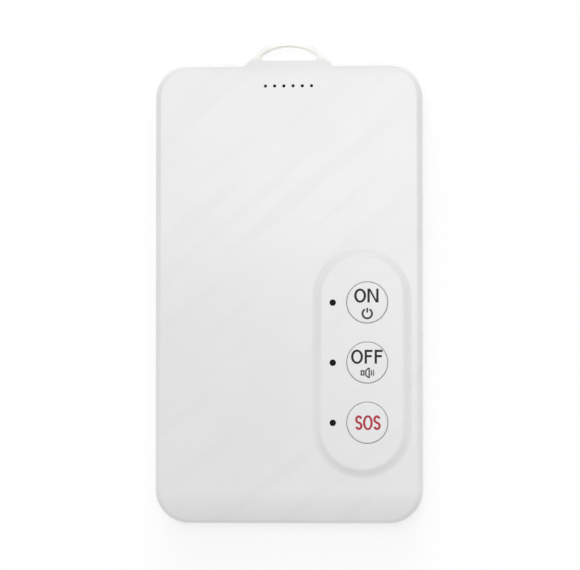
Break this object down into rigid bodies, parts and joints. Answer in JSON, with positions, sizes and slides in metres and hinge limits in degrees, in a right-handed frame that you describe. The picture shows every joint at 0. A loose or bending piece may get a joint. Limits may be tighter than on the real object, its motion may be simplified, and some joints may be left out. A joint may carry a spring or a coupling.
{
  "type": "gps tracker",
  "caption": "Flat card-shaped tracker with a lanyard lug, round keys on an oval pad, speaker holes, and a battery, radio board and antennas inside.",
  "frame": {"origin": "centre of the flat back face, between the four sides of the housing", "axes": "+Z out of the front face, +Y towards the lanyard lug, +X to the right of the front face"},
  "size_m": [0.0578, 0.1043, 0.0086],
  "materials": {
    "shell": "fine satin moulded off-white",
    "keycap": "satin moulded off-white",
    "smoked_pipe": "smoked, polished",
    "seal": "matte silicone",
    "steel": "plain machined",
    "board": "solder mask",
    "cell_foil": "embossed foil",
    "tape": "amber film",
    "black_lead": "insulated wire",
    "red_lead": "insulated wire",
    "white_plastic": "moulded",
    "black_plastic": "moulded",
    "patch_ceramic": "fired, silvered top",
    "shield_sheet": "plated sheet",
    "antenna_film": "polyimide film",
    "gold": "gold plated",
    "speaker_case": "moulded",
    "mesh": "fine woven mesh",
    "magnet": "nickel plated"
  },
  "bodies": {
    "housing": {"front_cover": "shell", "back_cover": "shell", "case_seal": "seal", "case_screws": "steel", "main_board": "board", "board_screws": "steel", "battery_cell": "cell_foil", "battery_tape": "tape", "battery_protection_board": "tape", "battery_lead_negative": "black_lead", "battery_lead_positive": "red_lead", "battery_socket": "white_plastic", "patch_tape": "tape", "gps_patch_antenna": "patch_ceramic", "modem_shield": "shield_sheet", "modem_chip": "black_plastic", "gnss_shield": "shield_sheet", "gnss_chip": "black_plastic", "lte_antenna": "antenna_film", "antenna_spring": "gold", "speaker": "speaker_case", "speaker_mesh": "mesh", "speaker_lead_left": "black_lead", "speaker_lead_right": "red_lead", "power_chip": "black_plastic", "inductor": "black_plastic", "motion_sensor": "black_plastic", "microphone": "shield_sheet", "sim_socket": "shield_sheet", "sim_card": "white_plastic", "charging_contact_left": "gold", "charging_contact_right": "gold", "charging_magnet_left": "magnet", "charging_magnet_right": "magnet", "tact_switch_on": "black_plastic", "light_pipe_on": "smoked_pipe", "led_on": "white_plastic", "tact_switch_off": "black_plastic", "light_pipe_off": "smoked_pipe", "led_off": "white_plastic", "tact_switch_sos": "black_plastic", "light_pipe_sos": "smoked_pipe", "led_sos": "white_plastic"},
    "key_on": {"key_on": "keycap", "switch_plunger_on": "white_plastic"},
    "key_off": {"key_off": "keycap", "switch_plunger_off": "white_plastic"},
    "key_sos": {"key_sos": "keycap", "switch_plunger_sos": "white_plastic"}
  },
  "joints": [
    {"name": "press_on", "type": "slide", "parent": "housing", "child": "key_on", "axis": [0, 0, -1], "range_m": [0, 0.00035], "stiffness_N_per_m": 800},
    {"name": "press_off", "type": "slide", "parent": "housing", "child": "key_off", "axis": [0, 0, -1], "range_m": [0, 0.00035], "stiffness_N_per_m": 800},
    {"name": "press_sos", "type": "slide", "parent": "housing", "child": "key_sos", "axis": [0, 0, -1], "range_m": [0, 0.00035], "stiffness_N_per_m": 800}
  ]
}
